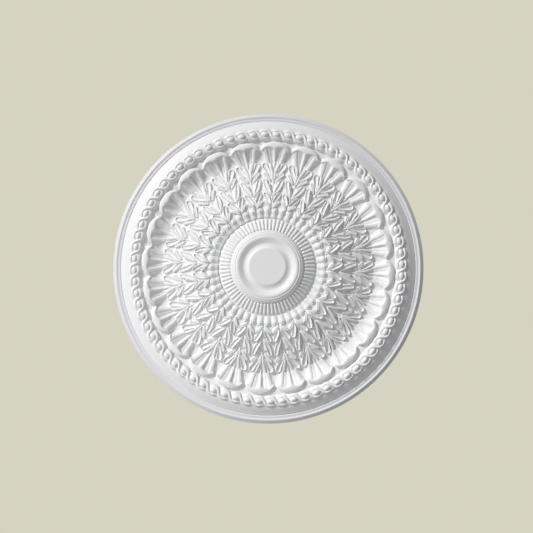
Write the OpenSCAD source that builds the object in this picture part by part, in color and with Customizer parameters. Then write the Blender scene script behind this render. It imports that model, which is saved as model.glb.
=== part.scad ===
// Ceiling rose: one round moulded casting that is fixed flat to a ceiling around a light fitting.
// The flat back lies on z = 0, against the ceiling, and the ornament faces down, towards -Z.
// Heights are measured down from the ceiling, and each moulding's width is measured along the radius.

/* [Overall] */
// Outside diameter of the rose
rose_d = 610; // [440:1:900]
// Height of the plain upright edge at the ceiling
edge_h = 4; // [2:0.5:10]
// Number of shells, each with its leaf
shell_count = 24; // [16:1:32]

/* [Rim and outer band] */
// Width of the rounded outer rim
rim_w = 15.5; // [8:0.5:30]
// Height of the rim's crest
rim_h = 8; // [6:0.5:14]
// Depth of the narrow groove between the rim and the band
quirk_depth = 1; // [0.5:0.1:2]
// Width of the broad rounded band
band_w = 17; // [10:0.5:40]
// Height of the band's inner edge
band_h = 17; // [14:0.5:24]

/* [Pearls] */
// Number of pearls to each shell
pearls_per_shell = 3; // [2:1:5]
// Gap between two neighbouring pearls at their widest
pearl_gap = 4; // [1:0.1:8]
// Width of the plain margin on each side of the pearls
pearl_margin = 1.7; // [1:0.1:8]
// Height of the moulding that carries the pearls
pearl_seat_h = 17.5; // [15:0.5:24]
// How far the pearls' middles lie below the moulding's surface
pearl_sink = 3; // [0:0.5:5]

/* [Shells] */
// Width of the groove between the shells and the pearls
groove_w = 3; // [2:0.5:8]
// Height of the groove's floor
groove_h = 16; // [10:0.5:20]
// Width of a shell, from the valley at its foot to its outline
shell_w = 35; // [20:0.5:60]
// Height of the valley at the shells' feet
valley_h = 10.5; // [8:0.5:16]
// Height of the crest of a shell's lip
lip_h = 19.5; // [16:0.5:28]
// Depth of a shell's two hollow flutes
flute_depth = 2.5; // [0:0.5:5]
// How far a shell's outline falls back at its two ends
lip_fall = 11; // [0:0.5:20]

/* [Leaves and tongues] */
// Height of the ground between the leaves, at their feet
leaf_foot_h = 29; // [20:0.5:34]
// Rise of a leaf's lobes above the ground
leaf_rise = 5.5; // [2:0.5:9]
// Rise of a leaf's middle vein above the ground
vein_rise = 4; // [1:0.5:8]
// Width of the ring of small tongues around the hub
tongue_w = 22; // [12:0.5:40]
// Rise of the tongues above the hub's groove
tongue_rise = 4; // [1:0.5:8]

/* [Hub] */
// Diameter of the flat disc in the middle
disc_d = 68; // [40:1:110]
// Height of the flat disc
disc_h = 43; // [36:0.5:60]
// Width of the shallow dish around the disc
dish_w = 18; // [8:0.5:30]
// Depth of the dish below the disc
dish_depth = 3.2; // [1:0.1:6]
// Width of the raised ring around the dish
ring_w = 19; // [10:0.5:30]
// Height of the ring's crest
ring_h = 44; // [38:0.5:62]
// Height of the shoulder where the ring ends and the reeds start
shoulder_h = 37; // [30:0.5:50]
// Width of the reeded shoulder
reeds_w = 25; // [12:0.5:40]
// Height of the hub's outer groove
hub_groove_h = 29; // [22:0.5:34]
// Number of reeds to each shell
reeds_per_shell = 3; // [2:1:5]
// Depth of the slot between two neighbouring reeds
slot_depth = 2.4; // [0.5:0.1:3]

/* [Hidden] */
$fn = 96;

rose_r = rose_d / 2;
curve_steps = 8;

// Radii from the outside in
rim_in_r = rose_r - rim_w;
band_in_r = rim_in_r - band_w;

// The pearls fill their circle, so the pearl ring's width follows from their number
pearl_count = shell_count * pearls_per_shell;
pearl_turn = PI / pearl_count;
pearl_r = (pearl_turn * (band_in_r - pearl_margin) - pearl_gap / 2) / (1 + pearl_turn);
pearl_ring_r = band_in_r - pearl_margin - pearl_r;
pearls_in_r = pearl_ring_r - pearl_r - pearl_margin;
shell_out_r = pearls_in_r - groove_w;
valley_r = shell_out_r - shell_w;

// Radii from the middle out
disc_r = disc_d / 2;
dish_out_r = disc_r + dish_w;
ring_out_r = dish_out_r + ring_w;
hub_r = ring_out_r + reeds_w;
tongue_out_r = hub_r + tongue_w;

// The carved ring of tongues, leaves and shells sits in a trough of the turned body
trough_h = 6;
embed = 2;
wall_overlap = 4;

// Points of a straight blend that eases in and out, from a to b, without a itself
function ease(a, b) = [for (i = [1:curve_steps]) let (t = i / curve_steps)
    [a[0] + (b[0] - a[0]) * t, a[1] + (b[1] - a[1]) * (1 - cos(180 * t)) / 2]];

// Points of a bowed line from a to b, without a itself, whose middle stands proud by rise
function bow(a, b, rise) = [for (i = [1:curve_steps]) let (t = i / curve_steps)
    [a[0] + (b[0] - a[0]) * t, a[1] + (b[1] - a[1]) * t + rise * 4 * t * (1 - t)]];

// The hub's turned profile, from the axis out to the trough
groove_floor_w = 3;
reeds_out_r = hub_r - groove_floor_w;
reeds_out_h = hub_groove_h + slot_depth + 0.6;
hub_profile = concat(
    [[0, disc_h], [disc_r, disc_h]],
    bow([disc_r, disc_h - 0.4], [dish_out_r, ring_h - 3], -dish_depth),
    bow([dish_out_r, ring_h - 3], [ring_out_r, shoulder_h + 1], 4.2),
    [[ring_out_r + 0.5, shoulder_h - 0.6], [reeds_out_r - 3, reeds_out_h + 1]],
    [[reeds_out_r - 0.8, reeds_out_h - 0.6], [reeds_out_r, hub_groove_h]],
    [[hub_r, hub_groove_h], [hub_r, trough_h]]
);

// The outer mouldings' turned profile, from the trough out to the edge
rim_profile = concat(
    [[pearls_in_r, trough_h], [pearls_in_r, pearl_seat_h - 0.5]],
    [[pearls_in_r + 1, pearl_seat_h], [band_in_r - 1, pearl_seat_h]],
    bow([band_in_r, band_h], [rim_in_r, rim_h - quirk_depth], 1.6),
    ease([rim_in_r, rim_h - quirk_depth], [rim_in_r + 2, rim_h - 0.3]),
    bow([rim_in_r + 2, rim_h - 0.3], [rim_in_r + 5, rim_h - 0.6], -0.3),
    bow([rim_in_r + 5, rim_h - 0.6], [rose_r, edge_h], 1.6),
    [[rose_r, 0]]
);

module turned_body() {
    rotate_extrude()
        polygon(concat([[0, 0]], hub_profile, rim_profile));
}

module pearls() {
    for (i = [0:pearl_count - 1])
        rotate([0, 0, i * 360 / pearl_count])
            translate([pearl_ring_r, 0, pearl_seat_h - pearl_sink])
                sphere(r = pearl_r, $fn = 48);
}

// The slots between the reeds run down the hub's shoulder
module reed_slots() {
    reed_count = shell_count * reeds_per_shell;
    run = reeds_out_r - ring_out_r - 0.6;
    fall = shoulder_h - 0.6 - reeds_out_h;
    slot_half_w = PI * reeds_out_r / reed_count * 0.4;
    for (i = [0:reed_count - 1])
        rotate([0, 0, (i + 0.5) * 360 / reed_count])
            translate([ring_out_r + 0.6, 0, shoulder_h - 0.6])
                rotate([0, atan(fall / run), 0])
                    rotate([90, 0, 90])
                        linear_extrude(height = sqrt(run * run + fall * fall) + 2)
                            polygon([[0, -slot_depth], [slot_half_w * 1.4, 1], [-slot_half_w * 1.4, 1]]);
}

// Carved ring: a grid of rows along the radius and columns around the circle.
// side is 0 on a leaf's middle vein and 1 midway between two leaves.
columns_per_half = 4;
column_count = shell_count * columns_per_half * 2;
function side_of(column) = let (n = column % (columns_per_half * 2))
    (n > columns_per_half ? columns_per_half * 2 - n : n) / columns_per_half;

// Each tier of lobes runs along a share of the leaf's length, from its foot to its tip
leaf_tiers = [[0, 0.27], [0.3, 0.58], [0.63, 0.95]];
function ground(r) = let (t = (r - tongue_out_r) / (valley_r - tongue_out_r))
    leaf_foot_h + (valley_h - leaf_foot_h) * max(0, min(1, t));
function hump(x) = max(0, 1 - x * x);

// A lobe starts at the vein and swings outwards as it runs to its tip
function lobe(side, along) = (0.5 + 0.5 * along) * hump((side - 0.12 - 0.6 * along) / 0.38);
function vein(side) = hump(side / 0.3);
function leaf_point(side, tier, along) =
    let (u = tier[0] + (tier[1] - tier[0]) * along)
    let (r = tongue_out_r + (valley_r - tongue_out_r) * u)
    [r, ground(r) + max(leaf_rise * lobe(side, along), vein_rise * vein(side))];

// A shell is a fan with two hollow flutes, inside a thick lip with a rounded outline
fan_side = 0.8;
lip_inner = 0.68;
lip_crest = 0.78;
function outline_r(side) = shell_out_r - lip_fall * pow(side, 3);
function fan_h(side, along) =
    let (floor_h = valley_h + (lip_h - valley_h) * 0.8 * along / lip_inner)
    side > fan_side
        ? floor_h - 3 * along / lip_inner
        : floor_h - flute_depth * pow(sin(180 * side / fan_side), 2);
function shell_r(side, along) = valley_r + (outline_r(side) - valley_r) * along;

// The rows of one column, from under the hub to under the pearls
function column_rows(side) = concat(
    [
        [hub_r - wall_overlap, hub_groove_h - embed],
        [hub_r + 1.5, hub_groove_h],
        [hub_r + tongue_w * 0.65, hub_groove_h + tongue_rise * sin(180 * side)],
        [tongue_out_r, leaf_foot_h]
    ],
    [leaf_point(side, leaf_tiers[0], 1), leaf_point(side, leaf_tiers[1], 0)],
    [leaf_point(side, leaf_tiers[1], 1), leaf_point(side, leaf_tiers[2], 0)],
    [leaf_point(side, leaf_tiers[2], 0.5), leaf_point(side, leaf_tiers[2], 1)],
    [
        [valley_r, valley_h],
        [shell_r(side, lip_inner) + 2 * sin(180 * side), fan_h(side, lip_inner)],
        [shell_r(side, lip_crest) + 2 * sin(180 * side), lip_h - 3 * pow(side, 4)],
        [shell_r(side, 1), groove_h + 1],
        [pearls_in_r + wall_overlap, groove_h - embed],
        [pearls_in_r + wall_overlap, trough_h - embed],
        [hub_r - wall_overlap, trough_h - embed]
    ]
);

module carved_ring() {
    columns = [for (c = [0:column_count - 1]) column_rows(side_of(c))];
    row_count = len(columns[0]);
    points = [for (c = [0:column_count - 1], p = columns[c]) let (a = c * 360 / column_count)
        [p[0] * cos(a), p[0] * sin(a), p[1]]];
    faces = [for (c = [0:column_count - 1], k = [0:row_count - 1])
        let (next_c = (c + 1) % column_count, next_k = (k + 1) % row_count)
        let (p00 = c * row_count + k, p01 = c * row_count + next_k)
        let (p10 = next_c * row_count + k, p11 = next_c * row_count + next_k)
        each [[p00, p11, p01], [p00, p10, p11]]];
    polyhedron(points, faces, convexity = 10);
}

module ceiling_rose() {
    color("white")
        mirror([0, 0, 1]) {
            difference() {
                turned_body();
                reed_slots();
            }
            pearls();
            carved_ring();
        }
}

ceiling_rose();
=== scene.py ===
"""Ceiling rose: one moulded casting, hung face down, seen from below in a plain studio.

The visual mesh replaces the CAD solid and keeps its box. It is a height field over a polar plan:
turned mouldings, a reeded hub, tongues, curled leaves, fluted shells and a guilloche with pearls.
Plan sizes are in millimetres and degrees, and heights are measured down from the ceiling.
"""
import math

import bmesh
import bpy
import numpy as np
from mathutils import Matrix, Vector


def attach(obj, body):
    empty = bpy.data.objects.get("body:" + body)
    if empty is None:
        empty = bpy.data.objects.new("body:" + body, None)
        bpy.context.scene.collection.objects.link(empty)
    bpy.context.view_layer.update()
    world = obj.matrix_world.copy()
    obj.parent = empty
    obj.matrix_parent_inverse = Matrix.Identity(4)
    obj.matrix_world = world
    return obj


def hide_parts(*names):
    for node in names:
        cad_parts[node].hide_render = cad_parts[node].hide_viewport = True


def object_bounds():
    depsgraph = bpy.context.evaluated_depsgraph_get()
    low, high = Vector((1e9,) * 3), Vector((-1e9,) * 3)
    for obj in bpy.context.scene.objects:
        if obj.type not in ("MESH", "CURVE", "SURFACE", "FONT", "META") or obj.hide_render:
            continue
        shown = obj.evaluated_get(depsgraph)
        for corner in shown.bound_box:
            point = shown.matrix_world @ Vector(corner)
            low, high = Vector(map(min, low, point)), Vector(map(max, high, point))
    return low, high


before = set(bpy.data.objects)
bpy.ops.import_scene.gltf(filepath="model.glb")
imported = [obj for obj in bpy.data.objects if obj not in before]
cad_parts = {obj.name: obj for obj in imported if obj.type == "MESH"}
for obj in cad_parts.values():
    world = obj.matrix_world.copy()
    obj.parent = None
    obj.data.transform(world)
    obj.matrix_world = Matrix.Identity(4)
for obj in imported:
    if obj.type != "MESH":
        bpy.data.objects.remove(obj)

MM = 0.001
cad_low, cad_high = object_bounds()

# ---------------------------------------------------------------- driving sizes
# Widths of the outer rings, from the outside in
rim_w = 15.5
band_w = 15.6
guilloche_outer_w = 12.0
guilloche_inner_w = 13.0
shell_w = 37.3

# Radii from the outside in, and the height of the hub ring's crest
rose_r = min(cad_high.x - cad_low.x, cad_high.y - cad_low.y) / 2 / MM
rim_in_r = rose_r - rim_w
band_in_r = rim_in_r - band_w
guilloche_r = band_in_r - guilloche_outer_w
guilloche_in_r = guilloche_r - guilloche_inner_w
valley_r = guilloche_in_r - shell_w
crest_h = -cad_low.z / MM

# Radii from the middle out
disc_r = 35.8
dish_r = 45.5
ring_crest_r = 59.5
ring_out_r = 70.5
hub_r = 96.5
tongue_out_r = 118.5

# Repeats around the circle
shell_count = 24
pearl_count = shell_count * 3
reed_count = shell_count * 3
unit = 360 / shell_count
half_unit = unit / 2
pearl_pitch = 360 / pearl_count
reed_pitch = 360 / reed_count

# Narrow seams left between the rings, which the stitching closes
seam_w = 0.4


# ---------------------------------------------------------------- small helpers
def smooth_line(knots):
    """A monotone smooth curve through (x, y) knots, as a function of an array."""
    x, y = (np.array(k, float) for k in zip(*knots))
    step = np.diff(y) / np.diff(x)
    slope = np.concatenate([step[:1], np.zeros(len(step) - 1), step[-1:]])
    inner = step[:-1] * step[1:] > 0
    slope[1:-1][inner] = 2 * step[:-1][inner] * step[1:][inner] / (step[:-1][inner] + step[1:][inner])

    def curve(at):
        at = np.clip(at, x[0], x[-1])
        i = np.clip(np.searchsorted(x, at, side="right") - 1, 0, len(x) - 2)
        width = x[i + 1] - x[i]
        t = (at - x[i]) / width
        return ((2 * t**3 - 3 * t**2 + 1) * y[i] + (t**3 - 2 * t**2 + t) * width * slope[i]
                + (3 * t**2 - 2 * t**3) * y[i + 1] + (t**3 - t**2) * width * slope[i + 1])
    return curve


def ramp(x, low, high):
    """0 below low, 1 above high, eased between them."""
    t = np.clip((x - low) / (high - low), 0, 1)
    return t * t * (3 - 2 * t)


def dome(q, sharpness=0.5):
    """A rounded section: 1 in the middle and 0 at q = 1 and beyond."""
    return np.clip(1 - q * q, 0, None) ** sharpness


def soft_max(a, b, blend):
    """The higher of two surfaces, with their crease rounded over the height blend."""
    h = np.clip(0.5 + 0.5 * (a - b) / blend, 0, 1)
    return b + (a - b) * h + blend * h * (1 - h)


def curve_through(points, steps=6):
    """A smooth curve through points in plan, as a dense list of points."""
    p = np.array(points, float)
    p = np.concatenate([[2 * p[0] - p[1]], p, [2 * p[-1] - p[-2]]])
    t = np.linspace(0, 1, steps, endpoint=False)[:, None]
    parts = []
    for a, b, c, d in zip(p, p[1:], p[2:], p[3:]):
        parts.append(b + 0.5 * t * (c - a + t * (2 * a - 5 * b + 4 * c - d + t * (3 * b - a - 3 * c + d))))
    return np.concatenate(parts + [p[-2:-1]])


def along_curve(points, x, y):
    """Distance to a curve, how far along it the nearest point lies (0 to 1), and which side it is on."""
    line = curve_through(points)
    best = np.full(x.shape, 1e9)
    share = np.zeros(x.shape)
    side = np.zeros(x.shape)
    for i in range(len(line) - 1):
        step = line[i + 1] - line[i]
        dx, dy = x - line[i, 0], y - line[i, 1]
        s = np.clip((dx * step[0] + dy * step[1]) / (step @ step), 0, 1)
        gap = np.hypot(dx - s * step[0], dy - s * step[1])
        nearer = gap < best
        best = np.where(nearer, gap, best)
        share = np.where(nearer, (i + s) / (len(line) - 1), share)
        side = np.where(nearer, (step[0] * dy - step[1] * dx) / np.hypot(*step), side)
    return best, share, side


def spread(values, share):
    """Values spaced evenly along a curve, read at a share of its length."""
    return np.interp(share, np.linspace(0, 1, len(values)), values)


# ---------------------------------------------------------------- turned profiles
hub_profile = smooth_line([
    (0, crest_h - 0.9), (disc_r - 1.0, crest_h - 0.9), (disc_r + 0.6, crest_h - 1.5),
    (disc_r + 3.5, crest_h - 2.9), (disc_r + 6, crest_h - 3.8), (dish_r - 0.4, crest_h - 4.2),
    (dish_r + 2, crest_h - 3.6), (dish_r + 5, crest_h - 2.2), (dish_r + 9.2, crest_h - 0.5),
    (dish_r + 10.0, crest_h - 0.1), (ring_crest_r - 3, crest_h), (ring_crest_r + 0.2, crest_h - 0.1),
    (ring_crest_r + 1.2, crest_h - 1.2), (ring_crest_r + 2.2, crest_h - 1.4),
    (ring_crest_r + 3.2, crest_h - 1.1), (ring_crest_r + 5.8, crest_h - 2.3),
    (ring_crest_r + 6.4, crest_h - 3.2), (ring_crest_r + 7.2, crest_h - 3.3),
    (ring_crest_r + 7.8, crest_h - 3.1), (ring_out_r - 2.0, crest_h - 4.4), (ring_out_r - 0.6, crest_h - 6.1),
    (ring_out_r, crest_h - 6.5), (ring_out_r + 0.8, crest_h - 6.6),
])
shoulder_profile = smooth_line([
    (ring_out_r, crest_h - 6.5), (ring_out_r + 2, crest_h - 6.7), (ring_out_r + 8, crest_h - 8.6),
    (ring_out_r + 17, crest_h - 12.0), (hub_r - 3, crest_h - 13.7), (hub_r, crest_h - 14.6),
])
groove_h = crest_h - 14.8
leaf_ground = smooth_line([
    (hub_r, groove_h - 1.6), (hub_r + 0.8, groove_h - 1.6), (hub_r + 3.0, groove_h - 1.2),
    (hub_r + 8, groove_h - 0.5), (tongue_out_r, 28.4), (144, 24.0), (177, 14.6), (196, 9.1),
    (valley_r, 6.4), (valley_r + 12, 7.9), (valley_r + 22, 10.3), (valley_r + 30, 12.0),
    (guilloche_in_r - 3, 12.1), (guilloche_in_r, 12.0),
])
guilloche_ground = smooth_line([
    (guilloche_in_r, 12.0), (guilloche_in_r + 1.8, 14.6), (guilloche_in_r + 4.4, 15.5),
    (guilloche_in_r + 8.5, 16.3), (guilloche_r - 0.5, 16.4), (guilloche_r + 4.5, 15.8),
    (guilloche_r + 8.5, 15.0), (band_in_r, 14.5),
])
rim_profile = smooth_line([
    (band_in_r, 14.5), (band_in_r + 4, 12.7), (band_in_r + 8, 10.4), (rim_in_r - 3.5, 8.1),
    (rim_in_r - 1.2, 7.0), (rim_in_r - 0.4, 6.1), (rim_in_r + 0.4, 6.1), (rim_in_r + 1.2, 6.9),
    (rim_in_r + 4.4, 6.4), (rim_in_r + 5.6, 6.4), (rim_in_r + 8.0, 7.2), (rim_in_r + 8.8, 7.3),
    (rose_r - 5.6, 6.8), (rose_r - 4, 5.8), (rose_r - 2, 4.5), (rose_r - 0.7, 3.8), (rose_r, 3.2),
])


# ---------------------------------------------------------------- reeds around the hub
def reeds(angle, radius):
    """Narrow round reeds run down the hub's shoulder and end in round heads."""
    across = (np.mod(angle / reed_pitch + 0.5, 1) - 0.5) * 2
    pitch = math.radians(reed_pitch) * radius
    foot_gap = np.clip((ring_out_r + 2.6 - radius) / (pitch * 0.3), 0, 1)
    head_gap = np.clip((radius - (hub_r - 6.6)) / (pitch * 0.45), 0, 1)
    q = np.sqrt((across / 0.96) ** 2 + foot_gap**2 + head_gap**2)
    slot_depth, reed_rise = 2.9, 3.4
    return shoulder_profile(radius) - slot_depth + reed_rise * dome(q, 0.6)


# ---------------------------------------------------------------- leaves
# One half of a leaf, in millimetres: across from the vein, then out from the middle of the rose.
# width is half the lobe's breadth and rise its height above the ground, both from foot to head.
# hollow is how far the lobe is dished, and lean raises its rim on the side of the vein.
lobes = [
    # third tier, next to the tongues
    dict(path=[(3.0, 116.5), (6.0, 120.5), (10.5, 125), (13.4, 127)], width=(1.9, 2.2, 2.6, 2.6),
         rise=(3.2, 4.0, 4.4, 4.0), hollow=0.15, lean=0.0),
    dict(path=[(2.6, 121), (5.2, 128), (9.6, 135.5), (13.4, 141.6)], width=(2.0, 3.4, 4.3, 3.9),
         rise=(3.4, 4.4, 5.2, 5.4), hollow=0.75, lean=0.25),
    # second tier
    dict(path=[(3.1, 146.4), (4.7, 152), (6.3, 157.2), (7.1, 161)], width=(1.4, 1.7, 1.9, 1.8),
         rise=(3.4, 4.0, 4.4, 4.6), hollow=0.0, lean=0.0),
    dict(path=[(1.8, 141), (5.0, 146.5), (9.6, 152.5), (13.4, 160), (16.3, 168.4)],
         width=(1.6, 3.0, 4.3, 4.5, 4.1), rise=(3.0, 3.8, 4.6, 5.0, 5.0), hollow=0.6, lean=0.12),
    # first tier, under the shell
    dict(path=[(5.6, 170.5), (9.5, 174.5), (14.0, 179.5), (17.9, 183)], width=(1.4, 2.2, 3.0, 3.1),
         rise=(2.6, 3.4, 4.4, 4.4), hollow=0.2, lean=0.0),
    dict(path=[(2.8, 176), (6.6, 182), (12.3, 189), (16.8, 195.5), (19.2, 200.2)],
         width=(1.5, 3.1, 4.6, 5.4, 5.5), rise=(3.0, 3.8, 4.4, 4.6, 4.6), hollow=0.95, lean=0.0),
    dict(path=[(1.9, 174), (2.4, 184), (3.9, 190), (6.4, 196.7), (8.6, 203)], width=(1.7, 1.9, 2.0, 2.1, 2.0),
         rise=(3.0, 4.0, 4.4, 4.2, 3.6), hollow=0.0, lean=0.0),
]
# Rise of the middle vein above the ground, by distance out. It sinks between two tiers.
vein_rise = smooth_line([
    (hub_r, 0), (116, 0), (120, 3.0), (136, 2.6), (144, 0.6), (162, 0.6), (168, 2.6), (174, 2.6),
    (180, 0.6), (192, 0.8), (198, 2.0), (204, 3.2), (230, 3.4),
])


def lobe_height(lobe, x, y):
    """Rise of one lobe above the ground: a rounded body, dished towards its head."""
    gap, share, side = along_curve(lobe["path"], x, y)
    breadth = spread(lobe["width"], share)
    rise = spread(lobe["rise"], share)
    foot_fillet = 1.1
    q = gap / (breadth + foot_fillet)
    rise = rise * (1 + lobe["lean"] * np.clip(side / breadth, -1, 1))
    sunk = lobe["hollow"] * ramp(share, 0.1, 0.5)
    body = 1 - ramp(q, 0.7 - 0.14 * (1 - sunk), 1.02)
    bowl = sunk * 0.6 * (1 - ramp(gap, 0.35 * breadth, breadth - 0.6))
    return rise * np.where(q < 1, np.maximum(body, 0.9 * dome(q, 1.0)) - bowl, 0)


def tongue_height(x, y):
    """A tongue midway between vein and boundary, ending in a button with a turned groove."""
    middle = math.radians(half_unit / 2)
    along = x * math.sin(middle) + y * math.cos(middle)
    across = x * math.cos(middle) - y * math.sin(middle)
    button_at = tongue_out_r - 8.2
    stem_end = np.clip(along - button_at, 0, None)
    stem_rise = 1.8 + 0.6 * ramp(along, hub_r + 1, button_at - 3)
    stem = stem_rise * dome(np.hypot(across, stem_end) / 5.0, 0.6)
    from_button = np.hypot(across, 0.95 * (along - button_at + 0.6))
    turned = 1.1 * np.exp(-((from_button - 3.0) / 0.75) ** 2)
    button = 4.8 * dome(from_button / 6.0, 0.5) - turned
    return np.maximum(stem, button)


# The height of a shape where there is none of it, well below every ground
absent = -9.0


def shell_outline(x):
    """Outer edge of a shell's lip, as distance out, for a distance across."""
    return guilloche_in_r - seam_w - 9.0 * np.clip(x / 25, 0, 1.3) ** 2.4


def lip_crest(x):
    """The line of a lip's crest, as distance out, for a distance across."""
    arch = np.sin(np.pi * np.clip((x + 0.4) / 26, 0, 1)) ** 0.85
    return valley_r + 20.8 + 4.8 * arch - 2.8 * ramp(x, 17, 27)


def shell_height(x, y):
    """A fan with a hollow flute and a rounded reed on each side, inside a thick, two-lobed lip.

    run is 0 at the fan's foot and 1 about where the lip starts."""
    fan_run, flank_w, lip_slope_w = 22.0, 7.0, 2.6
    run = (y - valley_r) / fan_run
    top = 10.2 + 8.3 * np.clip(run, -0.5, 1.1)
    # Across: the fan's side, the line between its reed and its flute, and its middle ridge
    side = 16.0 + 8.2 * run
    fillet = 9.8 + 6.2 * run
    ridge = 0.6 + 1.3 * np.clip(run, 0, 1.2) ** 1.8
    # How far the flute, and then the reed, lies below the ridge
    sunk = 3.9 * ramp(run, -0.5, 0.4) - 0.5 * ramp(run, 0.5, 1.1)
    inner = np.clip((x - ridge) / np.maximum(fillet - ridge, 0.1), 0, 1)
    outer = np.clip((x - fillet) / np.maximum(side - fillet, 0.1), 0, 1)
    floor = sunk - 1.5 * ramp(inner, 0.35, 0.9) + 0.7 * ramp(inner, 0.86, 1.0)
    drop = floor * ramp(x - ridge, 0.0, 3.4)
    bead = np.sin(np.pi * np.clip(0.06 + 0.7 * outer, 0, 1)) ** 0.7
    outer_drop = sunk - 0.8 - 2.2 * bead * (1 - 0.4 * ramp(run, 0.7, 1.0))
    drop = np.where(x > fillet, outer_drop, drop)
    fan = top - drop - 5.0 * ramp(x - side, 0.0, flank_w)
    crest, edge = lip_crest(x), shell_outline(x)
    fan = fan - 6.0 * ramp(y - crest, 0.0, 4.0)
    fan = np.where((x - side > flank_w) | (run < -0.5), absent, fan)
    lip_top = 19.4 - 2.6 * (np.clip(x, 0, 29) / 25) ** 1.8
    out = np.clip((y - crest) / (edge - crest), 0, 1)
    lip = lip_top + 0.3 - 1.0 * out - 3.2 * out**4 - 3.4 * ramp(y, edge - 0.8, edge + 0.8)
    lip = lip - 5.0 * ramp(crest - y, 0.0, lip_slope_w) - 5.0 * ramp(x, 26.2, 28.6)
    lip = np.where((y < crest - lip_slope_w) | (y > edge + 1.2), absent, lip)
    return soft_max(fan, lip, 0.6)


def carved(angle, radius):
    """Tongues, leaves and shells. The angle is folded: 0 on a vein, half_unit between two leaves."""
    angle = np.abs(np.mod(angle + half_unit, unit) - half_unit)
    x, y = radius * np.sin(np.radians(angle)), radius * np.cos(np.radians(angle))
    relief = np.zeros(x.shape)
    for lobe in lobes:
        relief = soft_max(relief, lobe_height(lobe, x, y), 0.35)
    relief = soft_max(relief, vein_rise(y) * dome(x / 1.9, 0.6), 0.35)
    relief = soft_max(relief, tongue_height(x, y), 0.35)
    relief = relief * (1 - ramp(radius, valley_r - 3, valley_r - 1))
    return soft_max(leaf_ground(radius) + relief, shell_height(x, y), 0.4)


# ---------------------------------------------------------------- guilloche with pearls
# The scroll's path, in millimetres: along the circle clockwise from its pearl, then out from the pearls
scroll = [(-10.4, 3.2), (-6, 6.4), (0.6, 7.7), (6.6, 6.6), (10.4, 3.4), (13.2, -1.8), (17.0, -7.0),
          (22.8, -9.0), (28.6, -8.0), (32.0, -4.8)]


def guilloche(angle, radius):
    """Oval pearls in a running scroll, whose strands pass outside one pearl and inside the next."""
    pitch = math.radians(pearl_pitch) * guilloche_r
    near = np.mod(0.5 + angle / pearl_pitch, 1) - 0.5
    along, out = near * pitch, radius - guilloche_r
    strands = np.zeros(along.shape)
    for turns in (-1, 0, 1):
        gap, share, _ = along_curve(scroll, along - turns * pitch, out)
        rise = 3.5 * ramp(share, 0.0, 0.2) * (1 - 0.7 * ramp(share, 0.8, 1.0))
        half_width = 2.8 + 1.1 * ramp(share, 0.55, 0.75)
        strands = np.maximum(strands, rise * dome(gap / half_width, 0.55))
    from_middle = np.sqrt(((along - 0.4) / 8.0) ** 2 + ((out + 0.6) / 5.9) ** 2)
    pearl = 5.2 * dome(from_middle, 0.6)
    return guilloche_ground(radius) + np.maximum(strands, pearl)


# ---------------------------------------------------------------- meshing
class Surface:
    """Collects vertices and faces given in (degrees, radius, height)."""

    def __init__(self):
        self.points, self.faces = [], []

    def add(self, angle, radius, height, faces):
        """Adds vertices, and faces that count from the first of them. Returns that vertex's number."""
        start = len(self.points)
        a = np.radians(angle)
        xyz = np.stack([radius * np.cos(a), radius * np.sin(a), -np.asarray(height)], -1) * MM
        self.points.extend(map(tuple, xyz))
        self.faces.extend(tuple(start + i for i in f) for f in faces)
        return start


def even_angles(columns):
    """Angles in degrees, evenly spaced around the circle."""
    return np.arange(columns) * 360 / columns


def grid_faces(rows, columns, closed):
    """The quads of a grid of vertices. A closed grid joins its last column to its first."""
    faces = []
    for row in range(rows - 1):
        here, beyond = row * columns, (row + 1) * columns
        for c in range(columns if closed else columns - 1):
            n = (c + 1) % columns
            faces.append((here + c, beyond + c, beyond + n, here + n))
    return faces


def ring_rows(surface, radii, heights, columns):
    """Rows around the whole circle. heights has a value for each row, or one for each vertex.

    Returns the first and the last row as loops: their angles and their vertices."""
    angles = even_angles(columns)
    a, r = np.meshgrid(angles, radii)
    h = np.broadcast_to(np.reshape(heights, (len(radii), -1)), a.shape)
    faces = grid_faces(len(radii), columns, closed=True)
    start = surface.add(a.ravel(), r.ravel(), h.ravel(), faces)
    first = start + np.arange(columns)
    return (angles, first), (angles, first + (len(radii) - 1) * columns)


def close_middle(surface, ring, height):
    """Closes a ring of vertices around the axis by a fan of triangles."""
    middle = surface.add([0.0], [0.0], [height], [])
    surface.faces.extend((middle, ring[i - 1], ring[i]) for i in range(len(ring)))


def next_angle(angles, i):
    """The angle of the vertex after number i. After the last comes the first, a whole turn on."""
    if i + 1 < len(angles):
        return angles[i + 1]
    return angles[0] + 360 if i < len(angles) else math.inf


def stitch(surface, inner, outer):
    """Joins two loops with different numbers of vertices by a band of triangles."""
    (in_angles, in_ring), (out_angles, out_ring) = inner, outer
    i = j = 0
    while i < len(in_ring) or j < len(out_ring):
        here, there = in_ring[i % len(in_ring)], out_ring[j % len(out_ring)]
        if next_angle(in_angles, i) <= next_angle(out_angles, j):
            surface.faces.append((here, there, in_ring[(i + 1) % len(in_ring)]))
            i += 1
        else:
            surface.faces.append((here, there, out_ring[(j + 1) % len(out_ring)]))
            j += 1


def grid(angles, radii, height, closed=False):
    """A grid over the polar plan, in millimetres, as points and quads."""
    a, r = np.meshgrid(angles, radii)
    t = np.radians(a)
    points = np.stack([r * np.cos(t), r * np.sin(t), height(a, r)], -1).reshape(-1, 3)
    return points, grid_faces(len(radii), len(angles), closed)


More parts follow.
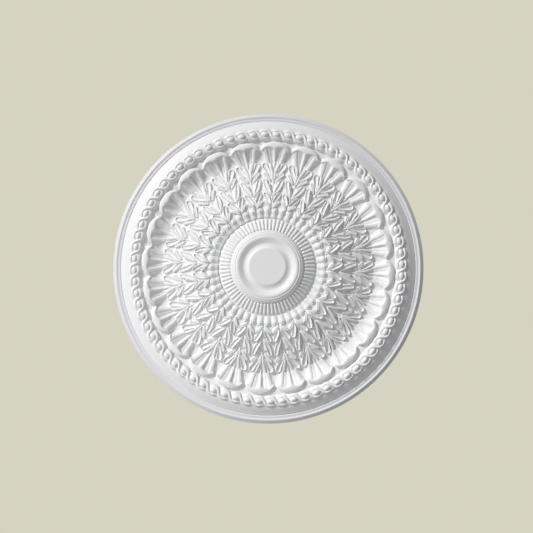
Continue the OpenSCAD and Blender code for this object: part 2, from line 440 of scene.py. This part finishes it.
def decimated(points, faces, target):
    """The same surface with about target triangles, kept where it curves most."""
    mesh = bpy.data.meshes.new("fine")
    mesh.from_pydata(points, [], faces)
    work = bpy.data.objects.new("fine", mesh)
    bpy.context.scene.collection.objects.link(work)
    thin = work.modifiers.new("thin", "DECIMATE")
    thin.ratio = target / (len(faces) * 2)
    thin.use_collapse_triangulate = True
    result = bpy.data.meshes.new_from_object(work.evaluated_get(bpy.context.evaluated_depsgraph_get()))
    xyz = np.empty(len(result.vertices) * 3)
    result.vertices.foreach_get("co", xyz)
    triangles = [tuple(p.vertices) for p in result.polygons]
    bpy.data.objects.remove(work)
    bpy.data.meshes.remove(mesh)
    bpy.data.meshes.remove(result)
    return xyz.reshape(-1, 3), triangles


def to_polar(points):
    """The angles in degrees, the radii and the heights of points."""
    angle = np.degrees(np.arctan2(points[:, 1], points[:, 0]))
    return angle, np.hypot(points[:, 0], points[:, 1]), points[:, 2]


def boundary_vertices(triangles):
    """The vertices on the open edges of a surface, lowest number first."""
    count = {}
    for t in triangles:
        for i in range(3):
            e = tuple(sorted((t[i], t[(i + 1) % 3])))
            count[e] = count.get(e, 0) + 1
    return np.array(sorted({v for e, n in count.items() if n == 1 for v in e}))


def half_unit_mesh(r_in, r_out, target):
    """Half a unit of the carving, thinned, with its two seams and two arcs made true again.

    Returns its vertices as (angle, radius, height), its triangles, and each arc's vertices."""
    columns, rows = 96, 420
    points, faces = grid(np.linspace(0, half_unit, columns), np.linspace(r_in, r_out, rows), carved)
    points, triangles = decimated(points, faces, target)
    angle, radius, height = to_polar(points)
    edge = boundary_vertices(triangles)
    for seam in (0.0, half_unit):
        # Thinning shifts a seam's vertices a little. Close to an arc only a vertex right on the seam
        # is taken, because the others there may belong to the arc.
        off_seam = np.abs(angle[edge] - seam) * np.radians(1) * radius[edge]
        clear_of_arcs = (radius[edge] > r_in + 0.3) & (radius[edge] < r_out - 0.3)
        angle[edge[off_seam < np.where(clear_of_arcs, 0.5, 0.03)]] = seam
        triangles = [t for t in triangles if any(angle[v] != seam for v in t)]
    arcs = []
    for arc_r in (r_in, r_out):
        arc = edge[np.abs(radius[edge] - arc_r) < 0.05]
        radius[arc] = arc_r
        arcs.append(arc)
    return (angle, radius, height), triangles, arcs


def carved_ring(surface, r_in, r_out, target):
    """Half a unit of the carving, mirrored and turned round the circle. Neighbours share their seams.

    Returns the inner and the outer loop."""
    (angle, radius, height), triangles, arcs = half_unit_mesh(r_in, r_out, target)
    loops = ({}, {})
    seam_vertices = {}
    for k in range(shell_count * 2):
        mirrored = k % 2 == 1
        turned = np.mod(unit * (k // 2) + (-angle if mirrored else angle), 360)
        number, fresh = [], []
        for v in range(len(angle)):
            place = (round(turned[v], 4) % 360, v)
            on_seam = angle[v] in (0.0, half_unit)
            if on_seam and place in seam_vertices:
                number.append(seam_vertices[place])
                continue
            number.append(len(surface.points) + len(fresh))
            fresh.append(v)
            if on_seam:
                seam_vertices[place] = number[-1]
        surface.add(turned[fresh], radius[fresh], height[fresh], [])
        order = (0, 2, 1) if mirrored else (0, 1, 2)
        surface.faces.extend(tuple(number[t[i]] for i in order) for t in triangles)
        for loop, arc in zip(loops, arcs):
            for v in arc:
                loop[round(float(turned[v]), 4) % 360] = number[v]
    return [(np.array(sorted(loop)), np.array([loop[a] for a in sorted(loop)])) for loop in loops]


def guilloche_ring(surface, r_in, r_out, target):
    """The whole guilloche, thinned in one go because its scroll runs one way.

    Returns the inner and the outer loop."""
    columns, rows = pearl_count * 36, 44
    points, faces = grid(even_angles(columns), np.linspace(r_in, r_out, rows), guilloche, closed=True)
    points, triangles = decimated(points, faces, target)
    angle, radius, height = to_polar(points)
    angle = np.mod(angle, 360)
    edge = boundary_vertices(triangles)
    start = len(surface.points)
    loops = []
    for arc_r in (r_in, r_out):
        # All open edges lie along the two arcs, so a wide tolerance is safe
        arc = edge[np.abs(radius[edge] - arc_r) < 1.5]
        radius[arc] = arc_r
        arc = arc[np.argsort(angle[arc])]
        loops.append((angle[arc], start + arc))
    surface.add(angle, radius, height, triangles)
    return loops


def rose_surface():
    """The whole surface, ring by ring from the middle to the rim, and round it to the flat back."""
    surface = Surface()
    half_unit_triangles, guilloche_triangles = 2200, 30000
    hub_columns, reed_columns, rim_columns = 192, reed_count * 8, 264

    radii = np.concatenate([[3, 12, 24], np.linspace(disc_r - 2, dish_r + 8, 20),
                            np.linspace(dish_r + 8.6, ring_out_r + 0.8, 32)])
    first, hub_edge = ring_rows(surface, radii, hub_profile(radii), hub_columns)
    close_middle(surface, first[1], hub_profile(0.0))

    radii = np.linspace(ring_out_r + 1.2, hub_r - seam_w, 12)
    heights = reeds(*np.meshgrid(even_angles(reed_columns), radii))
    reed_in, reed_out = ring_rows(surface, radii, heights, reed_columns)
    stitch(surface, hub_edge, reed_in)

    leaf_in, leaf_out = carved_ring(surface, hub_r, guilloche_in_r - seam_w, half_unit_triangles)
    stitch(surface, reed_out, leaf_in)
    pearl_in, pearl_out = guilloche_ring(surface, guilloche_in_r, band_in_r, guilloche_triangles)
    stitch(surface, leaf_out, pearl_in)

    front = np.concatenate([np.linspace(band_in_r + 0.5, rim_in_r - 1.5, 9),
                            np.linspace(rim_in_r - 0.9, rose_r - 4, 20),
                            [rose_r - 2.6, rose_r - 1.5, rose_r - 0.7, rose_r - 0.2, rose_r]])
    edge_and_back = [(rose_r, 1.0), (rose_r - 0.3, 0.3), (rose_r - 1.0, 0), (rose_r - 12, 0), (150, 0)]
    back_radii, back_heights = zip(*edge_and_back)
    radii = np.concatenate([front, back_radii])
    heights = np.concatenate([rim_profile(front), back_heights])
    band_in, back = ring_rows(surface, radii, heights, rim_columns)
    stitch(surface, pearl_out, band_in)
    close_middle(surface, back[1][::-1], 0.0)
    return surface


def build_rose():
    """The rose as one closed mesh."""
    surface = rose_surface()
    mesh = bpy.data.meshes.new("ceiling_rose_casting")
    mesh.from_pydata(surface.points, [], surface.faces)
    work = bmesh.new()
    work.from_mesh(mesh)
    bmesh.ops.recalc_face_normals(work, faces=work.faces)
    work.to_mesh(mesh)
    work.free()
    mesh.shade_smooth()
    mesh.set_sharp_from_angle(angle=math.radians(80))
    piece = bpy.data.objects.new("ceiling_rose_casting", mesh)
    bpy.context.scene.collection.objects.link(piece)
    return piece


# ---------------------------------------------------------------- materials
# The colour inputs and the colour output of a Mix node
MIX_A, MIX_B, MIX_RESULT = 6, 7, 2


def new_node(tree, kind, values=()):
    """A shader node, with (input, value) pairs."""
    node = tree.nodes.new("ShaderNode" + kind)
    for socket, value in values:
        node.inputs[socket].default_value = value
    return node


def colour_mix(tree, factor):
    """A node that mixes two colours by another node's output."""
    node = new_node(tree, "Mix")
    node.data_type = "RGBA"
    tree.links.new(factor, node.inputs["Factor"])
    return node


def rim_mask(tree, place):
    """1 on the front of the rim and 0 elsewhere."""
    link = tree.links.new
    flat = new_node(tree, "VectorMath")
    flat.operation = "MULTIPLY"
    flat.inputs[1].default_value = (1, 1, 0)
    link(place, flat.inputs[0])
    reach = new_node(tree, "VectorMath")
    reach.operation = "LENGTH"
    link(flat.outputs["Vector"], reach.inputs[0])
    outside = new_node(tree, "MapRange")
    outside.interpolation_type = "SMOOTHSTEP"
    outside.inputs["From Min"].default_value = (rim_in_r - 2) * MM
    outside.inputs["From Max"].default_value = (rim_in_r + 1) * MM
    link(reach.outputs["Value"], outside.inputs["Value"])
    split = new_node(tree, "SeparateXYZ")
    link(place, split.inputs[0])
    front = new_node(tree, "MapRange", [("From Min", -0.3 * MM), ("From Max", -1.0 * MM)])
    link(split.outputs["Z"], front.inputs["Value"])
    both = new_node(tree, "Math")
    both.operation = "MULTIPLY"
    link(outside.outputs["Result"], both.inputs[0])
    link(front.outputs["Result"], both.inputs[1])
    return both.outputs["Value"]


def primed_casting():
    """Matte white primer on a moulded casting, a little clouded, and greyer on the rim."""
    material = bpy.data.materials.new("primed_casting")
    material.use_nodes = True
    tree = material.node_tree
    link = tree.links.new
    place = new_node(tree, "TexCoord").outputs["Object"]

    cloud = new_node(tree, "TexNoise", [("Scale", 14), ("Detail", 4)])
    link(place, cloud.inputs["Vector"])
    primer = colour_mix(tree, cloud.outputs["Fac"])
    primer.inputs[MIX_A].default_value = (0.81, 0.812, 0.818, 1)
    primer.inputs[MIX_B].default_value = (0.86, 0.862, 0.866, 1)
    colour = colour_mix(tree, rim_mask(tree, place))
    link(primer.outputs[MIX_RESULT], colour.inputs[MIX_A])
    colour.inputs[MIX_B].default_value = (0.755, 0.755, 0.775, 1)

    grain = new_node(tree, "TexNoise", [("Scale", 900), ("Detail", 3)])
    link(place, grain.inputs["Vector"])
    bump = new_node(tree, "Bump", [("Strength", 0.12), ("Distance", 0.0004)])
    link(grain.outputs["Fac"], bump.inputs["Height"])

    shader = tree.nodes["Principled BSDF"]
    shader.inputs["Roughness"].default_value = 0.55
    shader.inputs["Specular IOR Level"].default_value = 0.35
    link(colour.outputs[MIX_RESULT], shader.inputs["Base Color"])
    link(bump.outputs["Normal"], shader.inputs["Normal"])
    return material


# ---------------------------------------------------------------- stage, light and camera
def plain_world():
    """Soft even light, behind which the camera sees a plain pale wall."""
    world = bpy.data.worlds.new("studio")
    bpy.context.scene.world = world
    world.use_nodes = True
    tree = world.node_tree
    link = tree.links.new
    tree.nodes.clear()
    fill = new_node(tree, "Background", [("Color", (0.97, 0.975, 1.0, 1)), ("Strength", 0.26)])
    wall = new_node(tree, "Background", [("Color", (0.672, 0.651, 0.539, 1))])
    pick = new_node(tree, "MixShader")
    link(new_node(tree, "LightPath").outputs["Is Camera Ray"], pick.inputs["Fac"])
    link(fill.outputs["Background"], pick.inputs[1])
    link(wall.outputs["Background"], pick.inputs[2])
    link(pick.outputs["Shader"], new_node(tree, "OutputWorld").inputs["Surface"])


def pale_floor():
    """A plain floor far below the rose, which takes no part in its light."""
    floor_size, floor_drop = 400, 2.6
    bpy.ops.mesh.primitive_plane_add(size=floor_size, location=(0, 0, -floor_drop))
    floor = bpy.context.object
    floor.name = "studio_floor"
    paint = bpy.data.materials.new("pale_floor")
    paint.use_nodes = True
    shader = paint.node_tree.nodes["Principled BSDF"]
    shader.inputs["Base Color"].default_value = (0.80, 0.78, 0.67, 1)
    shader.inputs["Roughness"].default_value = 0.9
    floor.data.materials.append(paint)
    floor.visible_shadow = False
    floor.visible_diffuse = False


def plain_colours():
    """Colours are shown as they are, with no film look."""
    view = bpy.context.scene.view_settings
    view.view_transform = "Standard"
    view.look = "None"


def add_lamp(name, light, towards):
    """A lamp that shines from a direction towards the middle of the rose."""
    lamp = bpy.data.objects.new(name, light)
    lamp.rotation_mode = "QUATERNION"
    lamp.rotation_quaternion = Vector(towards).to_track_quat("Z", "Y")
    bpy.context.scene.collection.objects.link(lamp)
    return lamp


def sun(name, towards, strength, softness):
    """A distant light. softness is its angle across, in degrees."""
    light = bpy.data.lights.new(name, "SUN")
    light.energy = strength
    light.angle = math.radians(softness)
    add_lamp(name, light, towards)


def softbox(name, place, power, size):
    """A square soft light at a place."""
    light = bpy.data.lights.new(name, "AREA")
    light.energy = power
    light.size = size
    lamp = add_lamp(name, light, place)
    lamp.location = place
    lamp.visible_camera = False


# The picture's own axes, turned a little against the rose's
roll = math.radians(3.7)
up = Vector((math.sin(roll), math.cos(roll), 0))
forward = Vector((0, 0, 1))
right = forward.cross(up)


def from_below(azimuth, elevation):
    """Unit direction from the rose, by the angle seen in the picture and the angle below the ceiling."""
    azimuth, elevation = math.radians(azimuth), math.radians(elevation)
    sideways = (right * math.cos(azimuth) + up * math.sin(azimuth)) * math.cos(elevation)
    return sideways - forward * math.sin(elevation)


def camera():
    """Almost straight below the rose, looking up at it."""
    lens, sensor = 70, 36
    # How much of the picture's width the rose takes
    rose_share = 0.582
    distance = rose_r * 2 * MM / rose_share / (sensor / lens)
    data = bpy.data.cameras.new("camera")
    data.lens, data.sensor_width = lens, sensor
    data.clip_end = 100
    data.shift_x, data.shift_y = -0.0026, 0.0021
    # Seen from a little to the right and below, so the hub shifts up and left
    lean = math.radians(3.2)
    offset = (right * 0.42 - up * 0.85).normalized() * math.tan(lean)
    eye = bpy.data.objects.new("camera", data)
    eye.location = (offset - forward) * distance
    look = -eye.location.normalized()
    side = look.cross(up).normalized()
    eye.rotation_mode = "QUATERNION"
    eye.rotation_quaternion = Matrix((side, side.cross(look), -look)).transposed().to_quaternion()
    bpy.context.scene.collection.objects.link(eye)
    bpy.context.scene.camera = eye


rose = build_rose()
rose.data.materials.append(primed_casting())
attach(rose, "root")
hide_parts("ceiling_rose")

plain_world()
pale_floor()
plain_colours()
camera()
# A low key light from the upper left, a small fill from the lower left, and one above for the back
sun("key", from_below(140, 30), 2.8, 11)
softbox("fill", from_below(225, 50) * 0.75, 0.9, 0.3)
sun("top", (0.3, -0.5, 0.8), 1.8, 20)
